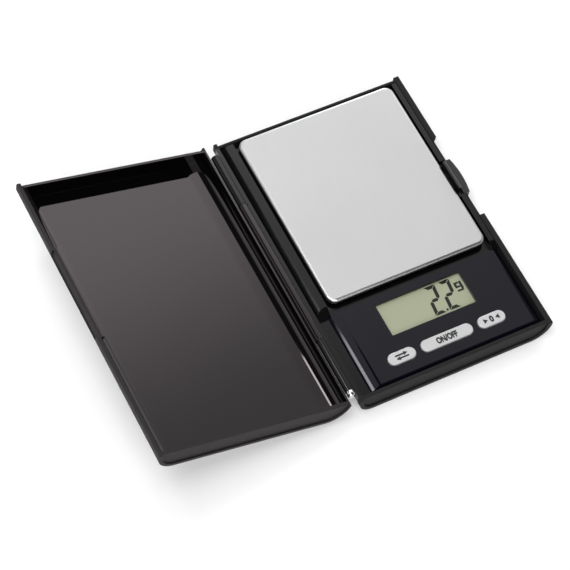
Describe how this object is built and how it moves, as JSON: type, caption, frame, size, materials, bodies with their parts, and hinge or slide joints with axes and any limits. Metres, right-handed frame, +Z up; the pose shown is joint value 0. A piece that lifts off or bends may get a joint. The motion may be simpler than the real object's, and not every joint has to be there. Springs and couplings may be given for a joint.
{
  "type": "digital pocket scale",
  "caption": "Clam-shell pocket scale: hinged cover tray, steel weighing plate on a bending beam, display, push keys and a sprung latch.",
  "frame": {"origin": "middle of the opened scale's outline, on the surface that the feet stand on", "axes": "+X from the opened cover to the base, +Y along the hinge from the display to the platform, +Z up"},
  "size_m": [0.1698, 0.1274, 0.0341],
  "materials": {
    "gloss_black_abs": "gloss",
    "panel_gloss_navy": "gloss",
    "lcd_glass": "gloss",
    "conductive_rubber": "matt",
    "board_laminate": "satin",
    "chip_epoxy": "satin",
    "beam_aluminium": "milled",
    "gauge_foil": "satin",
    "ribbon_film": "satin",
    "zinc_steel": "zinc plated",
    "cell_steel": "nickel plated",
    "spring_brass": "nickel plated",
    "lead_pvc": "satin",
    "black_steel": "black oxide",
    "foot_rubber": "matt",
    "polished_steel": "polished",
    "spring_steel": "bright",
    "dome_silicone": "matt",
    "key_silver": "silver paint",
    "stainless_plate": "fine brushed",
    "matte_black_abs": "matt"
  },
  "bodies": {
    "base": {"base_shell": "gloss_black_abs", "top_housing": "gloss_black_abs", "display_panel": "panel_gloss_navy", "lcd_glass": "lcd_glass", "zebra_strips": "conductive_rubber", "circuit_board": "board_laminate", "board_chips": "chip_epoxy", "load_cell": "beam_aluminium", "strain_gauges": "gauge_foil", "gauge_ribbon": "ribbon_film", "beam_screws": "zinc_steel", "coin_cells": "cell_steel", "negative_contacts": "spring_brass", "positive_contacts": "spring_brass", "battery_leads": "lead_pvc", "case_screws": "black_steel", "foot_pads": "foot_rubber", "hinge_pin": "polished_steel", "latch_spring": "spring_steel", "unit_dome": "dome_silicone", "power_dome": "dome_silicone", "tare_dome": "dome_silicone"},
    "cover": {"cover_shell": "gloss_black_abs"},
    "platform": {"platform_plate": "stainless_plate", "platform_carrier": "matte_black_abs", "carrier_screws": "zinc_steel"},
    "unit_button": {"unit_key": "key_silver"},
    "power_button": {"power_key": "key_silver"},
    "tare_button": {"tare_key": "key_silver"},
    "latch_slider": {"latch": "gloss_black_abs"},
    "door": {"battery_door": "gloss_black_abs"}
  },
  "joints": [
    {"name": "cover_hinge", "type": "hinge", "parent": "base", "child": "cover", "pos_m": [-0.00209, 0, 0.0099], "axis": [0, 1, 0], "range_deg": [0, 163.6]},
    {"name": "platform_press", "type": "slide", "parent": "base", "child": "platform", "axis": [0, 0, -1], "range_m": [0, 0.0004], "stiffness_N_per_m": 12000, "deforming": ["load_cell"]},
    {"name": "unit_button_press", "type": "slide", "parent": "base", "child": "unit_button", "axis": [0, 0, -1], "range_m": [0, 0.0006], "stiffness_N_per_m": 1000, "deforming": ["unit_dome"]},
    {"name": "power_button_press", "type": "slide", "parent": "base", "child": "power_button", "axis": [0, 0, -1], "range_m": [0, 0.0006], "stiffness_N_per_m": 1000, "deforming": ["power_dome"]},
    {"name": "tare_button_press", "type": "slide", "parent": "base", "child": "tare_button", "axis": [0, 0, -1], "range_m": [0, 0.0006], "stiffness_N_per_m": 1000, "deforming": ["tare_dome"]},
    {"name": "latch_slide", "type": "slide", "parent": "base", "child": "latch_slider", "axis": [-1, 0, 0], "range_m": [0, 0.0009], "stiffness_N_per_m": 600, "deforming": ["latch_spring"]},
    {"name": "battery_door_slide", "type": "slide", "parent": "base", "child": "door", "axis": [0, 1, 0], "range_m": [0, 0.045]}
  ]
}
